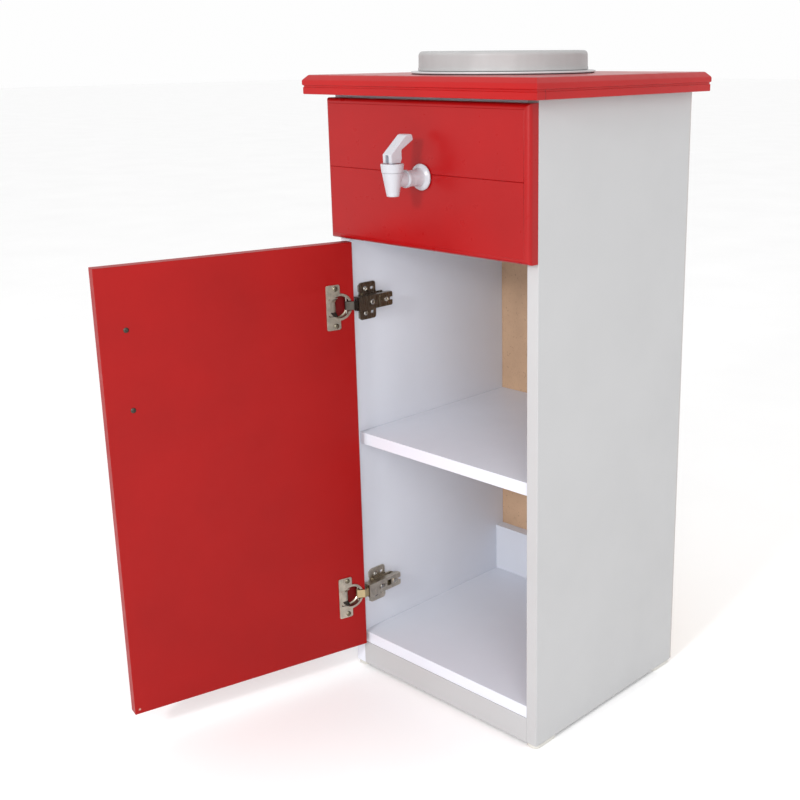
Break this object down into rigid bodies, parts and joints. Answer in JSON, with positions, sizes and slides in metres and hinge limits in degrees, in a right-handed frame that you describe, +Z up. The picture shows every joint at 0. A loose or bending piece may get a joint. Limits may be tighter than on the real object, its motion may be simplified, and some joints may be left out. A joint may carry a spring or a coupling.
{
  "type": "portable handwash sink",
  "caption": "Narrow hand-washing water stand: lidded water tub in the worktop, lever tap in the fascia and a shelved cupboard behind a door on concealed hinges.",
  "frame": {"origin": "on the floor under the centre of the cabinet's footprint", "axes": "+Z up, the front with the tap and the door faces -Y, +X is the viewer's right when facing the front"},
  "size_m": [0.4437, 0.6164, 0.8297],
  "materials": {
    "side_board": "white melamine-faced chipboard",
    "inner_board": "white melamine-faced chipboard",
    "hardboard": "brown hardboard",
    "worktop_red": "satin red lacquer on fibreboard",
    "fascia_red": "satin red lacquer on fibreboard",
    "door_red": "satin red foil on fibreboard",
    "dowel_wood": "bare beech",
    "nickel": "nickel-plated pressed steel",
    "pin_steel": "drawn steel",
    "screw_steel": "zinc-plated steel",
    "handle_metal": "brushed",
    "glide_plastic": "moulded",
    "tub_plastic": "moulded",
    "lid_plastic": "moulded",
    "tap_plastic": "moulded",
    "rubber": "soft grey rubber"
  },
  "bodies": {
    "cabinet": {"back_panel": "hardboard", "back_panel_nails": "screw_steel", "carcass_dowels": "dowel_wood", "divider_panel": "inner_board", "fascia_board": "fascia_red", "fascia_dowels": "dowel_wood", "floor_panel": "inner_board", "foot_front_left": "glide_plastic", "foot_front_right": "glide_plastic", "foot_nails": "screw_steel", "foot_rear_left": "glide_plastic", "foot_rear_right": "glide_plastic", "hinge_adjust_screws": "screw_steel", "hinge_arm_lower": "nickel", "hinge_arm_pin_lower": "pin_steel", "hinge_arm_pin_upper": "pin_steel", "hinge_arm_upper": "nickel", "hinge_plate_lower": "nickel", "hinge_plate_screws": "screw_steel", "hinge_plate_upper": "nickel", "plinth_board": "inner_board", "rear_rail": "inner_board", "shelf_board": "inner_board", "shelf_pins": "screw_steel", "side_panel_left": "side_board", "side_panel_right": "side_board", "tap_body": "tap_plastic", "tap_cap": "tap_plastic", "tap_inner_gasket": "rubber", "tap_nut": "tap_plastic", "tap_outer_gasket": "rubber", "tap_spring": "pin_steel", "top_rail_front": "inner_board", "top_rail_rear": "inner_board", "tub_gasket": "rubber", "water_tub": "tub_plastic", "worktop": "worktop_red", "worktop_screws": "screw_steel"},
    "hinge_links": {"hinge_link_upper": "nickel", "hinge_link_lower": "nickel"},
    "door": {"door_panel": "door_red", "hinge_cup_upper": "nickel", "hinge_cup_lower": "nickel", "hinge_cup_pin_upper": "pin_steel", "hinge_cup_pin_lower": "pin_steel", "hinge_cup_screws": "screw_steel", "door_handle": "handle_metal", "handle_screws": "screw_steel"},
    "stem": {"tap_stem": "tap_plastic", "tap_valve_seal": "rubber"},
    "lever": {"tap_lever": "tap_plastic", "tap_lever_pin": "pin_steel"},
    "lid": {"tub_lid": "lid_plastic"}
  },
  "joints": [
    {"name": "hinge_link_swing", "type": "hinge", "parent": "cabinet", "child": "hinge_links", "pos_m": [-0.14297, -0.14303, 0.3175], "axis": [0, 0, 1], "range_deg": [-31.94, 1.6]},
    {"name": "door_swing", "type": "hinge", "parent": "hinge_links", "child": "door", "pos_m": [-0.14489, -0.15892, 0.3175], "axis": [0, 0, 1], "range_deg": [-6.5, 135.92]},
    {"name": "tap_lever_press", "type": "hinge", "parent": "stem", "child": "lever", "pos_m": [0.0035, -0.2105, 0.714], "axis": [-1, 0, 0], "range_deg": [0, 25], "stiffness_Nm_per_rad": 0.0221, "springref_deg": -34.46},
    {"name": "tap_stem_lift", "type": "slide", "parent": "cabinet", "child": "stem", "axis": [0, 0, 1], "range_m": [0, 0.003], "deforming": ["tap_spring"]},
    {"name": "lid_lift", "type": "slide", "parent": "cabinet", "child": "lid", "axis": [0, 0, 1], "range_m": [0, 0.12]}
  ],
  "couplings": [
    {"joint": "hinge_link_swing", "follows": "door_swing", "ratio": -0.23482},
    {"joint": "tap_stem_lift", "follows": "tap_lever_press", "m_per_rad": 0.00665}
  ]
}
